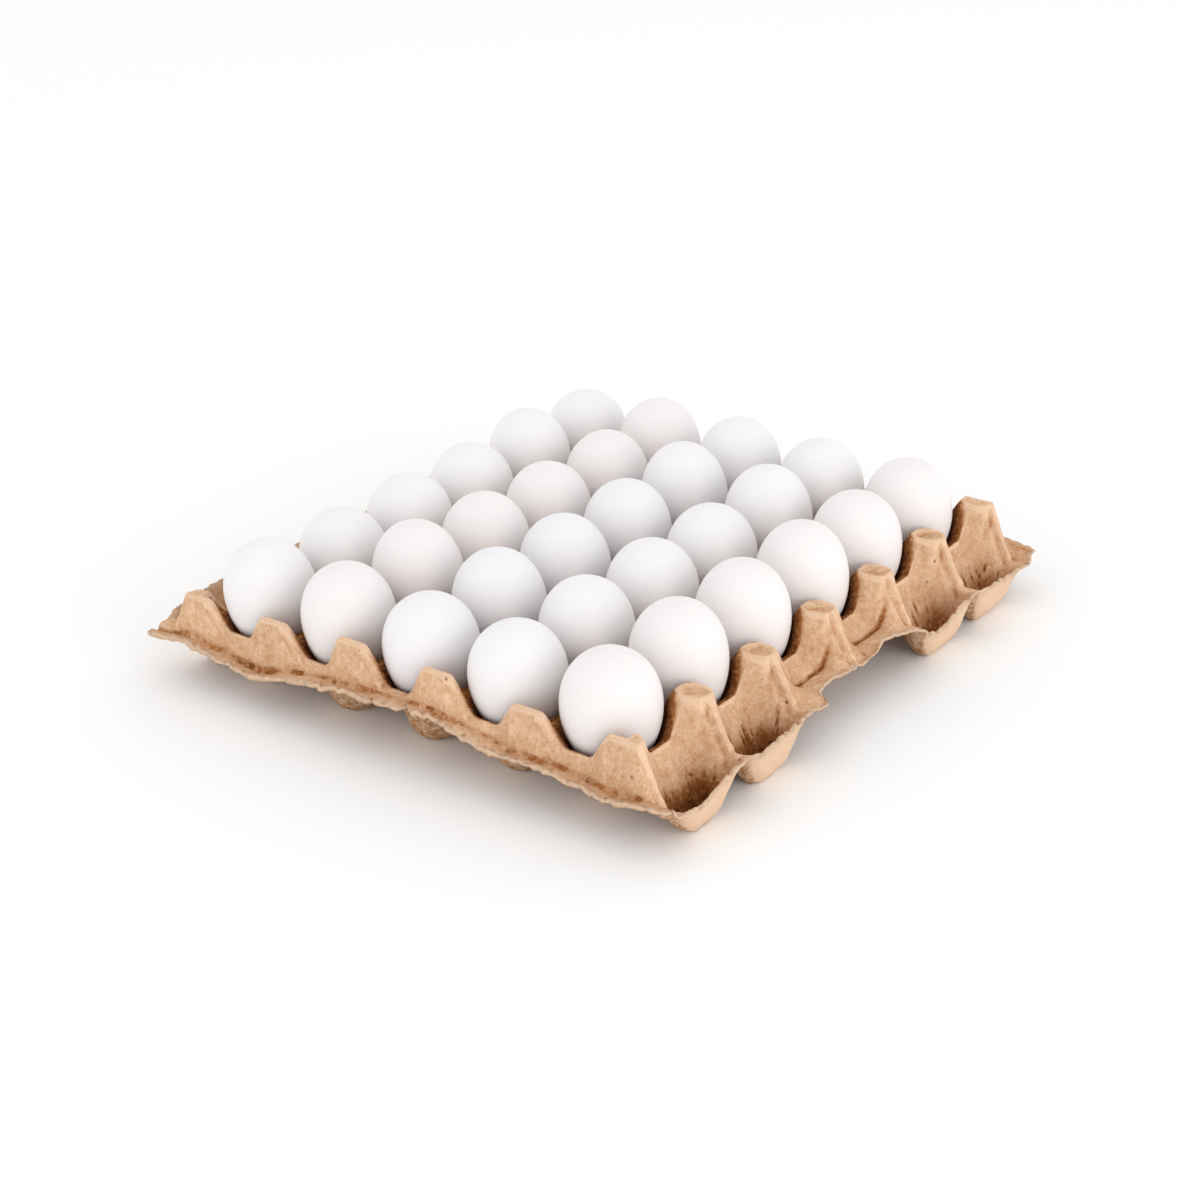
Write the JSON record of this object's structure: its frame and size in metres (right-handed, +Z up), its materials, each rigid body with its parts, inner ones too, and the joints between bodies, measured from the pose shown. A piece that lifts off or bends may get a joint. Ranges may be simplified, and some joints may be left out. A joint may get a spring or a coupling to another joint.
{
  "type": "tray of eggs",
  "caption": "Square moulded pulp tray of cup-shaped cells, with ridged flanges on two sides and a narrow lip on the others, each cell holding a white hen's egg, blunt end up.",
  "frame": {"origin": "middle of the tray's footprint, on the table it rests on", "axes": "+X across the short rows of eggs, from one wide flange to the other; +Y along the long rows of eggs, from one narrow lip to the other; +Z up"},
  "size_m": [0.3092, 0.299, 0.0737],
  "materials": {
    "pulp": "matte",
    "eggshell": "satin"
  },
  "bodies": {
    "root": {"tray": "pulp", "egg_1_1": "eggshell", "egg_1_2": "eggshell", "egg_1_3": "eggshell", "egg_1_4": "eggshell", "egg_1_5": "eggshell", "egg_2_1": "eggshell", "egg_2_2": "eggshell", "egg_2_3": "eggshell", "egg_2_4": "eggshell", "egg_2_5": "eggshell", "egg_3_1": "eggshell", "egg_3_2": "eggshell", "egg_3_3": "eggshell", "egg_3_4": "eggshell", "egg_3_5": "eggshell", "egg_4_1": "eggshell", "egg_4_2": "eggshell", "egg_4_3": "eggshell", "egg_4_4": "eggshell", "egg_4_5": "eggshell", "egg_5_1": "eggshell", "egg_5_2": "eggshell", "egg_5_3": "eggshell", "egg_5_4": "eggshell", "egg_5_5": "eggshell", "egg_6_1": "eggshell", "egg_6_2": "eggshell", "egg_6_3": "eggshell", "egg_6_4": "eggshell", "egg_6_5": "eggshell"}
  },
  "joints": []
}
